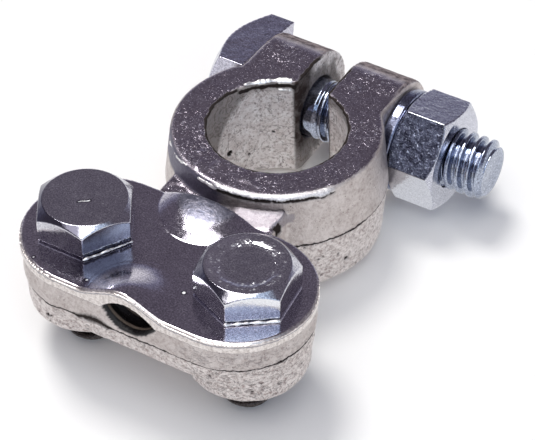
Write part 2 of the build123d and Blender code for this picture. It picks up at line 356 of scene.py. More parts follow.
def finish_piece(name, body, slot, node, *parts):
    """Makes one visible piece in the place of a CAD node. Each part is (mesh or bmesh, material)."""
    materials = list(dict.fromkeys(material for _, material in parts))
    whole = bmesh.new()
    index = []
    for shape, material in parts:
        if isinstance(shape, bmesh.types.BMesh):
            shape = as_mesh("part", shape)
        whole.from_mesh(shape)
        index += [materials.index(material)] * len(shape.polygons)
    mesh = as_mesh(name, whole)
    for material in materials:
        mesh.materials.append(material)
    mesh.polygons.foreach_set("material_index", np.array(index, np.int32))
    mesh.polygons.foreach_set("use_smooth", np.ones(len(index), bool))
    mesh.update()
    obj = link(name, mesh)
    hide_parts(node)
    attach(obj, body)


# --- materials ---


def is_socket(value):
    return isinstance(value, bpy.types.NodeSocket)


class Nodes:
    """Short calls for the nodes of one tree. place is where on the piece a point lies, in millimetres."""

    def __init__(self, tree):
        self.tree = tree
        tree.nodes.clear()
        self.place = None

    def add(self, kind, inputs=None, **settings):
        node = self.tree.nodes.new(kind)
        for key, value in settings.items():
            setattr(node, key, value)
        for key, value in (inputs or {}).items():
            if is_socket(value):
                self.tree.links.new(value, node.inputs[key])
            else:
                node.inputs[key].default_value = value
        return node

    def noise(self, size, detail=3.0, roughness=0.55, place=None, distortion=0.0):
        look = {"Scale": 1 / size, "Detail": detail, "Roughness": roughness, "Distortion": distortion}
        return self.add("ShaderNodeTexNoise", {"Vector": place or self.place, **look}).outputs["Fac"]

    def scaled(self, vector, scale):
        return self.add("ShaderNodeVectorMath", {0: vector, 1: scale}, operation="MULTIPLY").outputs[0]

    def attribute(self, name):
        return self.add("ShaderNodeAttribute", attribute_name=name).outputs["Fac"]

    def fit(self, value, low, high, to_low=0.0, to_high=1.0, **settings):
        """Maps low..high to to_low..to_high, held at both ends."""
        ends = {"From Min": low, "From Max": high, "To Min": to_low, "To Max": to_high}
        return self.add("ShaderNodeMapRange", {"Value": value, **ends}, **settings).outputs["Result"]

    def maths(self, operation, one, other=0.0):
        return self.add("ShaderNodeMath", {0: one, 1: other}, operation=operation).outputs[0]

    def plus(self, one, other):
        return self.maths("ADD", one, other)

    def minus(self, one, other):
        return self.maths("SUBTRACT", one, other)

    def times(self, one, other):
        return self.maths("MULTIPLY", one, other)

    def most(self, *values):
        highest = values[0]
        for value in values[1:]:
            highest = self.maths("MAXIMUM", highest, value)
        return highest

    def from_middle(self, value, middle=0.5):
        return self.maths("ABSOLUTE", self.minus(value, middle))

    def mix(self, share, one, other):
        """From one colour to the other. A mix node has its colours on inputs 6 and 7 and output 2."""
        one, other = (colour if is_socket(colour) else (*colour, 1.0) for colour in (one, other))
        return self.add("ShaderNodeMix", {0: share, 6: one, 7: other}, data_type="RGBA").outputs[2]

    def bump(self, height, depth, normal=None, strength=1.0):
        """depth is how far the height's 0 to 1 stands proud, in millimetres."""
        under = {} if normal is None else {"Normal": normal}
        look = {"Height": height, "Distance": depth * MM, "Strength": strength}
        return self.add("ShaderNodeBump", {**look, **under}).outputs["Normal"]

    def surface(self, **sockets):
        sockets = {key.replace("_", " "): value for key, value in sockets.items()}
        shader = self.add("ShaderNodeBsdfPrincipled", sockets)
        self.add("ShaderNodeOutputMaterial", {"Surface": shader.outputs[0]})


def new_material(name):
    material = bpy.data.materials.new(name)
    material.use_nodes = True
    n = Nodes(material.node_tree)
    n.place = n.scaled(n.add("ShaderNodeTexCoord").outputs["Object"], (1 / MM,) * 3)
    return material, n


def cast_lead():
    """Lead casting: pale beige walls with brown specks, creases and pits, a darker rubbed top with bright
    scuffs, its darkness partly painted shade, and a dark seam where the halves of the mould met. Painted
    shade also darkens the bore, the slot, the cable's groove and the backs of the ears."""
    material, n = new_material("cast_lead")
    pit, low, top, inner = (n.attribute(name) for name in ("pit", "low", "top", "inner"))
    scuff, bright, creased, shade = (n.attribute(name) for name in ("scuff", "bright", "creased", "shade"))
    fine = n.noise(0.20, 3, 0.65)
    speck = n.noise(0.42, 4, 0.72)
    patch = n.noise(2.4, 4, 0.65, distortion=0.4)
    wave = n.noise(1.5, 4, 0.62, n.scaled(n.place, (1.0, 1.0, 2.2)), distortion=0.6)

    # walls: brown specks gather in patches, most of them below the seam
    share = n.fit(n.plus(n.times(low, 0.30), patch), 0.40, 0.80, 0.42, 1.0)
    brown = n.times(n.fit(speck, 0.45, 0.66), share)
    walls = n.mix(n.fit(patch, 0.35, 0.65), (0.66, 0.61, 0.595), (0.53, 0.48, 0.465))
    walls = n.mix(n.times(low, 0.5), walls, (0.88, 0.83, 0.82))
    walls = n.mix(brown, walls, (0.33, 0.26, 0.25))
    walls = n.mix(n.times(n.fit(fine, 0.60, 0.74), 0.7), walls, (0.90, 0.87, 0.86))
    crumb = n.add("ShaderNodeTexVoronoi", {"Vector": n.place, "Scale": 1 / 0.62}).outputs["Distance"]
    crumb = n.times(n.fit(crumb, 0.10, 0.17, 1.0, 0.0), n.fit(n.noise(1.4, 2), 0.46, 0.56))
    walls = n.mix(n.times(crumb, 0.75), walls, (0.12, 0.09, 0.085))
    crease = n.times(n.fit(n.from_middle(wave), 0.004, 0.026, 1.0, 0.0), creased)
    walls = n.mix(crease, walls, (0.13, 0.105, 0.10))

    # bore and slot: smoother, and dark brown where shade is painted on them
    stain = n.noise(1.5, 5, 0.68, distortion=0.8)
    inside = n.mix(n.fit(stain, 0.36, 0.62), (1.0, 0.97, 0.96), (0.78, 0.72, 0.70))
    inside = n.mix(n.times(n.fit(speck, 0.50, 0.64), 0.8), inside, (0.36, 0.29, 0.27))
    inside = n.mix(n.times(crumb, 0.6), inside, (0.10, 0.075, 0.07))
    hair = n.fit(n.from_middle(n.noise(3.2, 3, 0.6, distortion=1.2)), 0.003, 0.014, 0.7, 0.0)
    inside = n.mix(hair, inside, (0.16, 0.12, 0.11))
    # painted shade: the bore and the slot turn dark brown where the shade mark is set
    inside = n.mix(n.times(shade, n.fit(stain, 0.30, 0.70, 1.1, 0.75)), inside, (0.055, 0.040, 0.036))
    colour = n.mix(inner, walls, inside)

    # tops: dark and rubbed, their darkness partly painted shade, paler where they are worn; a dark tint,
    # partly painted shade, lies under the front rim and on the raised neck, and the backs of the ears are
    # painted darker still as shade
    colour = n.mix(n.attribute("tinted"), colour, (0.15, 0.14, 0.19))
    tops = n.mix(n.fit(fine, 0.32, 0.70), (0.28, 0.245, 0.29), (0.54, 0.50, 0.58))
    tops = n.mix(n.fit(patch, 0.45, 0.70, 0.0, 0.5), tops, (0.36, 0.31, 0.35))
    colour = n.mix(top, colour, tops)
    backs = n.attribute("backs")
    # the backs of the ears: painted shade, dark, hardly metallic and with little reflection
    dull = n.mix(n.fit(n.noise(0.9, 4, 0.7), 0.40, 0.68), (0.075, 0.060, 0.068), (0.32, 0.27, 0.27))
    colour = n.mix(backs, colour, dull)

    # the rim of the bore and of the slot: a dark line, a painted shadow under the torn edge at the rear, and
    # a paler band on the beaten lip, partly a painted highlight
    over_rim = n.plus(n.attribute("over_rim"), n.fit(n.noise(1.3, 3, 0.6), 0.3, 0.7, -0.22, 0.22))
    under_line = n.fit(n.maths("ABSOLUTE", n.plus(over_rim, 0.72)), 0.20, 0.34, 1.0, 0.0)
    pit = n.most(pit, n.times(under_line, n.attribute("rear")))
    rim_line = n.fit(n.maths("ABSOLUTE", over_rim), 0.22, 0.42, 0.8, 0.0)
    pit = n.most(pit, n.times(rim_line, n.attribute("rim")))
    colour = n.mix(bright, colour, n.mix(n.fit(fine, 0.4, 0.6), (0.84, 0.82, 0.82), (0.62, 0.60, 0.62)))

    # the cable's groove, painted near black as shade, with paler crests on its ribs as a painted highlight
    groove = n.attribute("groove")
    colour = n.mix(groove, colour, (0.012, 0.010, 0.010))
    along = n.add("ShaderNodeSeparateXYZ", {0: n.place}).outputs["Y"]
    rib = n.maths("FRACT", n.maths("DIVIDE", n.minus(along, GROOVE_FRONT), RIB_PITCH))
    rib = n.times(n.fit(n.from_middle(rib), 0.06, 0.14, 1.0, 0.0), groove)
    colour = n.mix(rib, colour, (0.20, 0.155, 0.12))

    # the seam, and the pits with it
    ragged = n.fit(n.noise(0.6, 3, 0.6), 0.3, 0.7, -0.12, 0.12)
    away = n.maths("ABSOLUTE", n.plus(n.attribute("seam"), ragged))
    crack = n.fit(n.maths("DIVIDE", away, n.attribute("seam_width")), 0.45, 1.15, 1.0, 0.0)
    dark = n.most(n.fit(pit, 0.1, 0.7), crack)
    colour = n.mix(dark, colour, (0.035, 0.028, 0.026))

    roughness = n.plus(n.fit(fine, 0.25, 0.75, 0.36, 0.52), n.times(inner, 0.14))
    roughness = n.minus(roughness, n.times(top, 0.22))
    rough_skin = n.minus(1.0, n.times(top, 0.93))
    bump = n.bump(n.times(fine, rough_skin), 0.05, strength=0.8)
    bump = n.bump(n.times(n.fit(speck, 0.40, 0.66, 1.0, 0.0), rough_skin), 0.06, bump, 0.6)
    flakes = n.fit(n.noise(0.38, 2, 0.5, distortion=0.6), 0.60, 0.70)
    bump = n.bump(n.times(flakes, n.times(scuff, top)), 0.10, bump)
    bump = n.bump(n.minus(1.0, n.most(crack, crease)), 0.14, bump, 0.7)
    unmetallic = n.most(dark, groove, backs, n.times(inner, 0.95))
    # unlit turns down the reflection of the pits, the seam, the backs of the ears and the painted shade
    # inside
    unlit = n.most(dark, backs, n.times(inner, shade))
    n.surface(
        Base_Color=colour,
        Metallic=n.fit(unmetallic, 0.0, 1.0, 1.0, 0.1),
        Roughness=roughness,
        Specular_IOR_Level=n.times(n.minus(1.0, unlit), 0.5),
        Normal=bump,
    )
    return material


def plated(name, dark, light, roughness, grain_size, grain_depth, dull=0.0):
    """Zinc plated steel: a mirror finish with a fine grain and faint clouds. Its surface is left to make:
    returns (material, its nodes, grain, colour, roughness, bump)."""
    material, n = new_material(name)
    cloud = n.noise(4.0, 4, 0.6)
    grain = n.noise(grain_size, 3, 0.6)
    wear = n.noise(1.1, 5, 0.7)
    colour = n.mix(n.fit(cloud, 0.3, 0.7), dark, light)
    colour = n.mix(n.fit(grain, 0.30, 0.52, 0.75, 0.0), colour, tuple(0.45 * c for c in dark))
    colour = n.mix(n.fit(grain, 0.52, 0.74, 0.0, 0.8), colour, tuple(min(1.0, c * 1.6) for c in light))
    smudge = n.fit(wear, 0.45, 0.75, 0.0, 0.10 + dull)
    finish = n.plus(n.fit(grain, 0.3, 0.7, roughness, roughness + 0.06), smudge)
    bump = n.bump(cloud, 0.10, n.bump(grain, grain_depth), 0.5)
    return material, n, grain, colour, finish, bump


def plain_plated(*look, **more):
    material, n, _, colour, finish, bump = plated(*look, **more)
    n.surface(Base_Color=colour, Metallic=1.0, Roughness=finish, Normal=bump)
    return material


def marked_plated(*look):
    """Plated steel on which the marks of the piece's points are seen, those that plated_marks stores."""
    material, n, grain, colour, finish, bump = plated(*look)
    white, edge, scale, domed = (n.attribute(name) for name in ("white", "edge", "scale", "domed"))

    # edge: the sheared edge of the plate, cream with a dark line along it; along the top of the rim that
    # faces the camera the cream is a painted highlight
    below = n.plus(n.attribute("below"), n.fit(n.noise(0.5, 3), 0.3, 0.7, -0.06, 0.06))
    line = n.times(n.fit(n.from_middle(below), 0.05, 0.12, 0.75, 0.0), edge)
    cream = n.mix(n.fit(n.noise(0.4, 4, 0.7), 0.40, 0.66), (0.82, 0.77, 0.75), (0.48, 0.43, 0.41))
    colour = n.mix(edge, colour, cream)
    colour = n.mix(line, colour, (0.20, 0.20, 0.25))

    # scale: dark and speckled; on the heads it is a painted shadow over the burr, on the nut the scale of its
    # saddle-facing flat, darkened as painted shade
    blotch = n.noise(0.85, 5, 0.75, distortion=0.8)
    speckled = n.mix(n.fit(blotch, 0.38, 0.60), (0.030, 0.030, 0.050), (0.13, 0.14, 0.20))
    speckled = n.mix(n.fit(n.noise(0.36, 3, 0.7), 0.58, 0.68), speckled, (0.62, 0.67, 0.84))
    colour = n.mix(scale, colour, speckled)

    # pale flats, a painted highlight, and worn rims
    colour = n.mix(n.attribute("glow"), colour, (0.90, 0.92, 0.95))
    worn = n.times(n.attribute("worn"), n.fit(grain, 0.3, 0.6, 0.3, 1.0))
    colour = n.mix(worn, colour, (0.80, 0.79, 0.86))

    # spot and white: white specks, the spots in a dark outline; the white of the left head's nick is a
    # painted glint
    white = n.most(white, n.fit(n.attribute("spot"), -0.03, 0.04, 1.0, 0.0))
    outline = n.fit(n.from_middle(n.attribute("spot"), 0.12), 0.03, 0.10, 0.7, 0.0)
    colour = n.mix(outline, colour, (0.05, 0.05, 0.07))
    colour = n.mix(white, colour, (0.95, 0.95, 0.93))

    # darker places: painted shade before the left head and on the heads' chamfers, and on the dome painted
    # shade in brushed patches that dims its highlight
    colour = n.mix(n.attribute("dusk"), colour, (0.13, 0.125, 0.17))
    brushed = n.noise(0.55, 5, 0.7, distortion=0.5)
    share = n.times(domed, n.fit(brushed, 0.36, 0.64, 1.0, 0.62))
    colour = n.mix(share, colour, (0.12, 0.125, 0.17))

    finish = n.plus(finish, n.times(n.most(edge, scale), 0.22))
    finish = n.plus(finish, n.times(domed, 0.24))
    bump = n.bump(n.times(brushed, domed), 0.05, bump)
    bump = n.bump(n.times(n.noise(0.55, 4, 0.7), scale), 0.30, bump)
    n.surface(Base_Color=colour, Metallic=n.fit(white, 0.0, 1.0, 1.0, 0.0), Roughness=finish, Normal=bump)
    return material


def torn_metal():
    """Bright torn edges and burrs, with dull places."""
    material, n = new_material("torn_metal")
    colour = n.mix(n.fit(n.noise(0.5, 3), 0.40, 0.62), (0.72, 0.70, 0.70), (1.0, 0.99, 0.98))
    roughness = n.fit(n.noise(0.3, 3), 0.3, 0.7, 0.30, 0.45)
    n.surface(Base_Color=colour, Metallic=0.9, Roughness=roughness, Normal=n.bump(n.noise(0.2, 3), 0.03))
    return material


FLOOR_WHITE_MIRRORED = 0.6


def floor_material():
    """White paper that keeps its shadows. The metal mirrors it partly as paper, partly as an even white."""
    material, n = new_material("floor_paper")
    tone = n.mix(n.noise(30.0, 2), (0.875, 0.865, 0.845), (0.885, 0.875, 0.855))
    paper = n.add("ShaderNodeBsdfPrincipled", {"Base Color": tone, "Roughness": 0.85})
    white = n.add("ShaderNodeEmission", {"Color": (1.0, 1.0, 1.0, 1.0), "Strength": 1.0})
    ray = n.add("ShaderNodeLightPath")
    indirect = n.most(ray.outputs["Is Glossy Ray"], ray.outputs["Is Transmission Ray"])
    share = n.times(indirect, FLOOR_WHITE_MIRRORED)
    both = n.add("ShaderNodeMixShader", {0: share, 1: paper.outputs[0], 2: white.outputs[0]})
    n.add("ShaderNodeOutputMaterial", {"Surface": both.outputs[0]})
    return material


CAST_LEAD = cast_lead()
TORN_METAL = torn_metal()
# name, dark and light colour, roughness, size and depth of the grain
PLATE_STEEL = marked_plated("plate_steel", (0.50, 0.47, 0.54), (0.60, 0.57, 0.65), 0.07, 0.19, 0.006)
HEAD_STEEL = marked_plated("head_steel", (0.54, 0.53, 0.59), (0.64, 0.63, 0.70), 0.09, 0.17, 0.007)
NUT_STEEL = marked_plated("nut_steel", (0.51, 0.52, 0.61), (0.61, 0.62, 0.71), 0.09, 0.17, 0.008)
SQUARE_STEEL = plain_plated("square_steel", (0.46, 0.45, 0.54), (0.56, 0.55, 0.64), 0.10, 0.2, 0.008)
WASHER_STEEL = plain_plated("washer_steel", (0.14, 0.15, 0.22), (0.26, 0.28, 0.38), 0.12, 0.2, 0.008)
# the pinch bolt's shank: darker than its head, partly painted shade for where it lies in the slot
SHANK_STEEL = plain_plated("shank_steel", (0.24, 0.27, 0.36), (0.44, 0.48, 0.58), 0.05, 0.2, 0.006)
# the cable bolts' shanks: the heads' steel painted near black as shade, where their tips show under the
# saddle
TIP_STEEL = plain_plated("tip_steel", (0.022, 0.018, 0.018), (0.07, 0.06, 0.06), 0.20, 0.2, 0.02, dull=0.15)
# marks that are 0 where a piece has none; spot is the distance to the nearest speck
PLATED_MARKS = ("white", "edge", "scale", "below", "worn", "glow", "domed", "dusk")
NO_SPOT = 9.0


def plated_marks(mesh, **given):
    """Stores all the marks that marked_plated reads, with those that aren't given left blank."""
    blank = np.zeros(len(mesh.vertices))
    store(mesh, **{**dict.fromkeys(PLATED_MARKS, blank), "spot": blank + NO_SPOT, **given})


# --- the casting ---


# the seam across the saddle's front, as height over x
SEAM_ACROSS = (-18.0, -12.5, -10.3, -8.0, -6.0, -5.0, -3.6, -2.2, -0.1, 6.0, 19.0)
SEAM_HEIGHTS = (9.1, 8.8, 8.6, 9.1, 9.1, 9.35, 9.55, 9.2, 9.25, 9.3, 9.4)
# rubbed places of the ring's and the ears' tops: x, y, reach, strength
SCUFFS = (
    (-9.6, -4.7, 1.4, 1.0), (-7.1, -5.6, 1.1, 0.9), (-5.3, -9.6, 1.6, 1.0), (-2.4, -9.8, 1.8, 1.0),
    (1.6, -10.9, 1.5, 0.8), (10.2, 5.1, 1.9, 0.9), (10.8, -4.4, 1.2, 0.6), (-6.9, 13.5, 1.7, 0.8),
    (6.4, 14.5, 1.5, 0.9), (-9.0, 1.7, 1.1, 0.5), (-7.5, -12.0, 1.2, 0.9), (-4.5, -12.1, 1.6, 1.0),
    (4.8, 11.6, 1.0, 0.8), (8.2, 13.0, 0.7, 0.8), (4.3, -11.3, 1.6, 0.5),
)
# blowholes in the bore: middle, radius
BLOWHOLES = (((-8.9, 3.1, 4.7), 0.55), ((-7.4, 5.6, 3.2), 0.28), ((-5.0, 7.6, 6.6), 0.25))
# the border of the painted shade in the bore: height over direction, in degrees from -Y
SHADE_BORDER_FACING = (-162, -126, -114, -106, -99, -94, -86)
SHADE_BORDER_HEIGHTS = (14.0, 13.8, 12.1, 10.8, 9.0, 7.1, 2.0)
SHADE_BORDER_RIGHT = 13.8  # its height right of the middle
NO_SEAM = 0.001  # width of the seam where none is seen
RIM_REACH = 1.5  # how far from the edge of the bore a rim is marked
# where regions meet, as the y or |x| at the start and the end of the change
SADDLE_TO_RING = (-15.5, -14.0)
RING_TO_EARS = (12.0, 14.0)
SLOT_TO_EARS = (1.9, 2.4)
# the ragged lip along the ring's front rim, with directions in degrees from -Y
LIP_FROM, LIP_TO = -1, 58
LIP_HEIGHT = 0.54
LIP_REACH = 0.48
LIP_UNDERCUT = 0.16
# the slit between the neck and the right boss: x at a y, x over y, depth
SLIT_X, SLIT_Y, SLIT_LEAN, SLIT_DEPTH = 7.75, -13.93, 0.28, 0.5


def seam_height(x, y):
    """Where the halves of the mould met: halfway up the ring and the ears, higher on the saddle."""
    saddle = np.interp(x, SEAM_ACROSS, SEAM_HEIGHTS)
    return PARTING + (saddle - PARTING) * step(-13.0, -16.5, y)


def around(radius, low, high, height, height_end=None, count=40):
    """Points round +Z from one direction to another, in degrees from -Y."""
    turns = np.radians(np.linspace(low, high, count))
    heights = np.linspace(height, height if height_end is None else height_end, count)
    return np.stack([radius * np.sin(turns), -radius * np.cos(turns), heights], axis=1)


# torn edges of the casting: path, radius, how broken, lean
BURRS = (
    (around(BORE_TOP_RADIUS + 0.12, -162, -121, RING_TOP + 0.08), 0.32, 0.1, -1),
    (around(BORE_TOP_RADIUS - 0.05, -161, -150, RING_TOP - 1.25), 0.28, 0.4, -1),
    (around(RING_RADIUS - 0.05, -52, -26, RING_TOP - 0.9, RING_TOP - 0.2), 0.26, 0.9, 1),
    (around(RING_RADIUS + 0.02, -16, -2, RING_TOP - 0.5, RING_TOP - 0.45), 0.22, 0.5, 1),
)


def pitted(points, low, outer, wall):
    """Depth from 0 to 1 of the casting's pits, and how deep in millimetres."""
    holes = pits(points, 1.7, 0.40, 0.45, 41) * low * outer
    small = pits(points, 0.9, 0.40, 0.30, 47) * (0.12 + 0.88 * low) * wall
    few = pits(points, 2.6, 0.10, 0.36, 53) * (1 - low) * wall
    return np.maximum(np.maximum(holes, 0.8 * small), few), 0.28 * holes + 0.14 * small + 0.16 * few


def rims(points, facing, outside):
    """The edge of the bore and of the slot, outside being the way out from the bore's wall: how far out over
    the edge a point lies, less than 0 down inside, then masks of the bore's rear rim and of the rest."""
    x, y, z = points.T
    rear = np.where((y > 0) & (outside < RIM_REACH), band(facing, -163, -118, 5), 0)
    outside = np.where(y > 8.2, np.minimum(outside, np.abs(x) - SLOT_HALF), outside)
    over_rim = np.clip(outside - (RING_TOP - z), -3, 3)
    rim = np.where((z > 11.0) & (np.abs(outside) < RIM_REACH), (1 - rear) * step(16.0, 14.0, y), 0)
    return over_rim, rear, rim


def groove_floor(points, upwards):
    """Where the cable's groove is."""
    x, y, z = points.T
    away = np.hypot(x - GROOVE_MIDDLE, z - (PLATE_UNDER - GROOVE_DEPTH + GROOVE_RADIUS))
    inside = (away < GROOVE_RADIUS + 0.12) & (y > GROOVE_FRONT) & (y < -17.0) & (z < PLATE_UNDER - 0.04)
    return np.where(inside, step(0.0, 0.2, upwards), 0)


def dusk_inside(points, facing, bore, slot):
    """How dark it is in the bore and in the slot: painted shade, with a stain round the pinch bolt."""
    x, y, z = points.T
    # painted shade falls across the bore: its border, a height, drops towards the left
    dusk = np.where(x < 0, np.interp(facing, SHADE_BORDER_FACING, SHADE_BORDER_HEIGHTS), SHADE_BORDER_RIGHT)
    dusk = dusk + 0.5 * fractal(points, 2.5, 3, 103)
    shade = bore * (0.08 + 0.62 * step(-0.8, 0.8, z - dusk)) * step(dusk - 7.0, dusk + 0.6, z)
    # the slot is stained round the pinch bolt, and painted dark as shade in its throat
    around_bolt = np.hypot(y - PINCH_AXIS[1], z - PINCH_AXIS[2])
    stained = step(7.0, 5.6, around_bolt + 1.3 * fractal(points, 1.4, 3, 101)) * 0.75
    throat = step(14.0, 11.6, y) * (0.72 + 0.28 * step(2.0, 5.0, z))
    return np.maximum(shade, slot * np.maximum(stained, throat))


def casting():
    mesh = skin("terminal_body", CASTING_VOXEL)
    points, out = read(mesh), normals(mesh)
    x, y, z = points.T
    from_axis = np.hypot(x, y)
    facing = np.degrees(np.arctan2(x, -y))
    bore_radius = BORE_TOP_RADIUS + BORE_SLOPE * (RING_TOP - z)
    upwards = out[:, 2]

    # regions, each 1 inside and 0 outside: backs are the rounded tops of the ears; the top's dark colour,
    # partly painted shade, reaches down their rounded edges, and the backs are painted darker still as shade
    ring = step(*SADDLE_TO_RING, y)
    ear_tops = step(0.42, 0.60, upwards) * step(*RING_TO_EARS, y) * step(*SLOT_TO_EARS, np.abs(x))
    top = np.maximum(step(0.75, 0.95, upwards), ear_tops)
    backs = ear_tops * step(0.995, 0.94, upwards)
    wall = 1 - step(0.45, 0.8, np.abs(upwards))
    bore = step(0.9, 0.5, from_axis - bore_radius) * step(10.5, 9.5, y) * step(-9.8, -9.3, y)
    slot = step(SLOT_HALF + 0.6, SLOT_HALF + 0.3, np.abs(x)) * step(6.5, 7.5, y)
    inner = np.maximum(bore, slot) * (1 - top)
    outer = wall * (1 - inner)
    seam = z - seam_height(x, y) + 0.18 * fractal(points, 5.0, 3, 61) * ring
    low = step(0.25, -0.25, seam) * (1 - top) * (1 - inner)
    right_boss = step(6.0, 10.0, x) * step(-17.0, -20.0, y)

    # cast skin: lumps, then pits, most of both below the seam
    height = 0.05 * fractal(points, 4.0, 3, 11) * (1 - 0.5 * inner)
    height += 0.040 * fractal(points, 0.9, 3, 23) * (0.25 + 0.75 * low)
    wavy = outer * np.maximum(0.55 * low, right_boss * step(12.2, 11.2, z))
    height += 0.11 * fractal(points * (1.0, 1.0, 2.6), 1.6, 3, 31) * wavy
    height += 0.015 * fractal(points, 1.2, 2, 29) * top
    pit, depth = pitted(points, low, outer, wall)
    height -= depth

    # the lower half of the mould stands back a little, more where the seam gapes
    gaping = step(-34.0, -34.8, y) * step(-0.6, -3.2, x) * step(-8.2, -4.6, x)
    height -= (0.06 + 0.12 * gaping * step(-1.2, 0.0, seam)) * low * outer
    strength = step(-0.5, 0.3, fractal(points, 5.0, 3, 71))
    seam_width = 0.06 + 0.14 * strength + 0.56 * gaping
    seam_width = np.where((outer > 0.3) & (z > 0.4), seam_width, NO_SEAM)

    scuff = np.clip(spots(x, y, SCUFFS), 0, 1) + 0.10
    height += 0.10 * step(0.15, 0.6, fractal(points, 0.9, 3, 83)) * scuff * top

    # the front rim is beaten out to a ragged lip, painted dark as shade in the undercut beneath it and paler
    # along its face, partly as a painted highlight
    lip_side = band(facing, LIP_FROM, LIP_TO, 6) * ring
    lip_foot = RING_TOP - LIP_HEIGHT + 0.24 * fractal(points, 0.9, 3, 91)
    flare = np.clip((RING_TOP - z) / 0.62, 0, 1) * step(-0.12, 0.08, z - lip_foot)
    over = (from_axis > RING_RADIUS - 0.9) & (y < 0) & (z > RING_TOP - 2.5)
    flare = np.where(over, flare * lip_side, 0)
    undercut = np.where(over, near(z, lip_foot - 0.22, 0.34) * lip_side * wall, 0)
    radial = np.stack([x, y, 0 * z], axis=1) / np.maximum(from_axis, 1e-6)[:, None]
    push = LIP_REACH * flare - LIP_UNDERCUT * undercut
    # the undercut is painted dark as shade
    pit = np.maximum(pit, np.clip(2.2 * undercut, 0, 1))
    # a paler band along the lip: partly a painted highlight
    bright = np.where(over, band(z, lip_foot + 0.05, RING_TOP - 0.10, 0.10) * lip_side, 0)

    # left of it the wall under the rim is as dark as the top, and a fainter strip runs on below it
    front_wall = (from_axis > 12.4) & (y < 0)
    tinted = np.where(over | front_wall, band(facing, -58, -4, 10) * step(11.9, 12.4, z), 0)
    strip = step(14.0, 12.8, z) * step(12.2, 12.5, z) * band(facing, -4, 24, 12)
    tinted = np.maximum(tinted, np.where(front_wall, 0.45 * strip, 0)) * (1 - top) * (1 - inner)

    # the neck's top rises towards the ring on the nut's side, and a slit parts it from the boss
    neck = (np.abs(x) < 8.6) & (from_axis > 12.9) & (y > -16.4) & (y < -9.5) & (z > 11.4) & (z < 12.7)
    slope = np.where(neck, np.clip((16.3 - from_axis) / 3.0, 0, 1) * step(0.4, 3.0, x), 0)
    points[:, 2] += 1.2 * slope * step(0.3, 0.8, upwards)
    raised = step(0.05, 0.2, slope)
    # the raised neck takes half the dark tint instead of the top's colour: painted shade
    top = top * (1 - 0.75 * raised)
    tinted = np.maximum(tinted, 0.5 * raised)
    slit = near(x - SLIT_X - SLIT_LEAN * (y - SLIT_Y), 0, 0.30) * band(y, -13.9, -12.0, 0.3) * (z > 11.0)
    height -= SLIT_DEPTH * slit
    # the slit is painted dark as shade
    pit = np.maximum(pit, step(0.2, 0.6, slit))

    for centre, radius in BLOWHOLES:
        hole = np.clip(1 - (np.linalg.norm(points - np.array(centre), axis=1) / radius) ** 2, 0, 1)
        height -= 0.4 * hole
        pit = np.maximum(pit, step(0.1, 0.5, hole))

    over_rim, rear, rim = rims(points, facing, from_axis - bore_radius)
    creased = np.clip(outer * (0.30 * low + 0.40 * right_boss * step(12.0, 11.0, z)), 0, 1)
    shaped = points + out * height[:, None] + radial * push[:, None]
    shaped[:, :2] = shaped[:, :2].clip(BODY_LOW[:2], BODY_HIGH[:2])
    write(mesh, shaped)
    # the floor of the cable's groove, which the material paints near black as shade
    groove = groove_floor(points, upwards)
    # painted shade inside the bore and the slot
    shade = dusk_inside(points, facing, bore, slot * (1 - top))
    store(
        mesh, pit=pit, low=low, top=top * (1 - bright), inner=inner, scuff=scuff, bright=bright,
        groove=groove, over_rim=over_rim, rear=rear, rim=rim, tinted=tinted, backs=backs, creased=creased,
        shade=shade, seam=seam, seam_width=seam_width,
    )
    burrs = [
        (torn_ribbon(path, radius, 181 + 11 * k, gap, lean), TORN_METAL)
        for k, (path, radius, gap, lean) in enumerate(BURRS)
    ]
    finish_piece("casting_skin", "casting", "cast_lead", "terminal_body", (mesh, CAST_LEAD), *burrs)


# --- the plate ---


# bright specks on the plate: x, y, radius
DOTS = ((5.16, -29.94, 0.20), (-5.66, -33.9, 0.15), (-13.26, -33.81, 0.12))
# painted shade on the plate before the left head, a darker painted reflection of the head: x, y, reach,
# strength
PLATE_PAINTED_SHADE = ((-7.2, -32.2, 2.4, 0.8), (-5.0, -29.4, 2.4, 0.8), (-3.9, -31.6, 1.6, 0.6))
# arches of the plate: x and y of the middle, radius at the foot, rise
ARCHES = ((0.5, PLATE_LOW[1] + 2.3, 5.7, 2.2), (0.2, PLATE_HIGH[1], 6.4, 1.7))
# the front arch as pressed, level along the front edge and fading backwards: x of its middle, half its
# width, rise, y of its front, reach
FRONT_ARCH = (0.1, 6.5, 1.9, PLATE_LOW[1] + 0.6, 8.0)
# towards the camera, level: there the plate's rim is seen sheared, and cut back further, and a cream band on
# its top is a painted highlight
TO_CAMERA = (0.51, 0.86)
RIM_CUT = 0.34


def plate_top(x, y):
    """Height of the plate's upper face."""
    tall = np.full(len(x), PLATE_TOP)
    for px, py, radius, rise in ARCHES:
        ball = (radius**2 + rise**2) / (2 * rise)
        away = np.minimum(np.hypot(x - px, y - py), radius)
        tall = np.maximum(tall, PLATE_TOP + rise - ball + np.sqrt(ball**2 - away**2))
    return tall


def pressed_arch(x, y):
    """Height of the front arch above the plate's upper face."""
    middle, half_width, rise, front, reach = FRONT_ARCH
    away = np.hypot((x - middle) / half_width, np.clip(y - front, 0, None) / reach)
    return rise * np.cos(pi / 2 * np.clip(away, 0, 1)) ** 2


